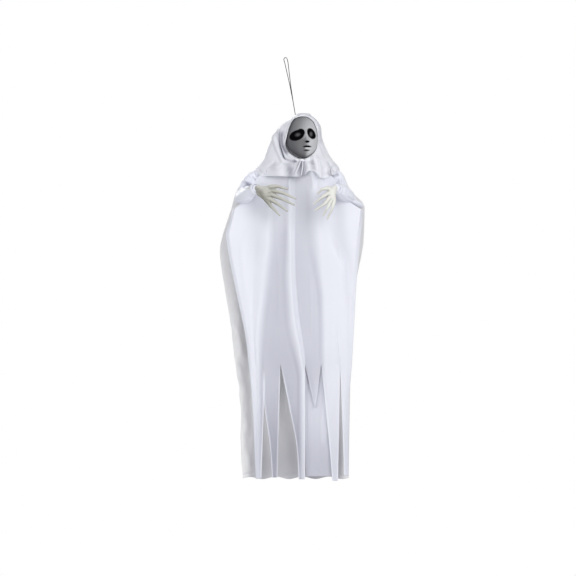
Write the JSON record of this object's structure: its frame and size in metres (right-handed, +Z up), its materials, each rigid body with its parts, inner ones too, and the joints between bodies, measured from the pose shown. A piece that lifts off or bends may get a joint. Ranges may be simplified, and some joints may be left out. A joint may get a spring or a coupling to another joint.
{
  "type": "hanging ghost decoration",
  "caption": "Grey-faced ghost in a white hooded robe with a ragged hem, pale hands before its chest, hung from a looped cord.",
  "frame": {"origin": "inner top of the cord's loop, where a hook carries the ghost", "axes": "+Z up, -Y towards the front of the ghost, +X to the viewer's right"},
  "size_m": [0.3514, 0.1667, 1.0355],
  "materials": {
    "cord_black": "thin black twine",
    "robe_white": "white polyester satin, soft sheen",
    "hood_white": "white polyester satin, soft sheen",
    "face_grey": "grey painted, black round the eyes",
    "hand_ivory": "ivory, faint moulded relief",
    "wire_steel": "drawn wire",
    "foam_white": "foam and fibre filling",
    "neck_plastic": "plain white moulding"
  },
  "bodies": {
    "cord": {"hanging_cord": "cord_black"},
    "knot": {"crown_knot": "cord_black", "knot_washer": "wire_steel"},
    "head": {"head_back_shell": "face_grey", "face_shell": "face_grey", "neck_post": "neck_plastic", "neck_retainer": "neck_plastic", "neck_screw": "wire_steel", "hood": "hood_white"},
    "torso": {"neck_socket": "neck_plastic", "cape": "hood_white", "chin_tie": "hood_white", "chest_form": "foam_white", "shoulder_wire": "wire_steel", "robe_front": "robe_white", "robe_back": "robe_white", "left_upper_sleeve": "robe_white", "left_arm_pad": "foam_white", "right_upper_sleeve": "robe_white", "right_arm_pad": "foam_white"},
    "left_forearm": {"left_forearm_wire": "wire_steel", "left_forearm_pad": "foam_white", "left_forearm_sleeve": "robe_white", "left_cuff_band": "robe_white"},
    "right_forearm": {"right_forearm_wire": "wire_steel", "right_forearm_pad": "foam_white", "right_forearm_sleeve": "robe_white", "right_cuff_band": "robe_white"},
    "left_hand": {"left_hand": "hand_ivory"},
    "right_hand": {"right_hand": "hand_ivory"}
  },
  "joints": [
    {"name": "cord_swing", "type": "hinge", "parent": "cord", "child": "knot", "pos_m": [0.0245, 0.012, -0.141], "axis": [0, 1, 0], "range_deg": [-30, 30]},
    {"name": "cord_spin", "type": "hinge", "parent": "knot", "child": "head", "pos_m": [0.0245, 0.012, -0.141], "axis": [0, 0, 1], "continuous": true},
    {"name": "neck_turn", "type": "hinge", "parent": "head", "child": "torso", "pos_m": [0.038, 0.002, -0.268], "axis": [0, 0, 1], "range_deg": [-20, 60]},
    {"name": "left_elbow", "type": "hinge", "parent": "torso", "child": "left_forearm", "pos_m": [-0.113, -0.01, -0.346], "axis": [0, 0, -1], "range_deg": [0, 50]},
    {"name": "right_elbow", "type": "hinge", "parent": "torso", "child": "right_forearm", "pos_m": [0.166, -0.01, -0.346], "axis": [0, 0, 1], "range_deg": [0, 50]},
    {"name": "left_wrist_twist", "type": "hinge", "parent": "left_forearm", "child": "left_hand", "pos_m": [-0.066, -0.095, -0.32], "axis": [0.4674, -0.8454, 0.2586], "range_deg": [-30, 30]},
    {"name": "right_wrist_twist", "type": "hinge", "parent": "right_forearm", "child": "right_hand", "pos_m": [0.1186, -0.09, -0.32], "axis": [-0.4909, -0.8285, 0.2693], "range_deg": [-30, 30]}
  ]
}
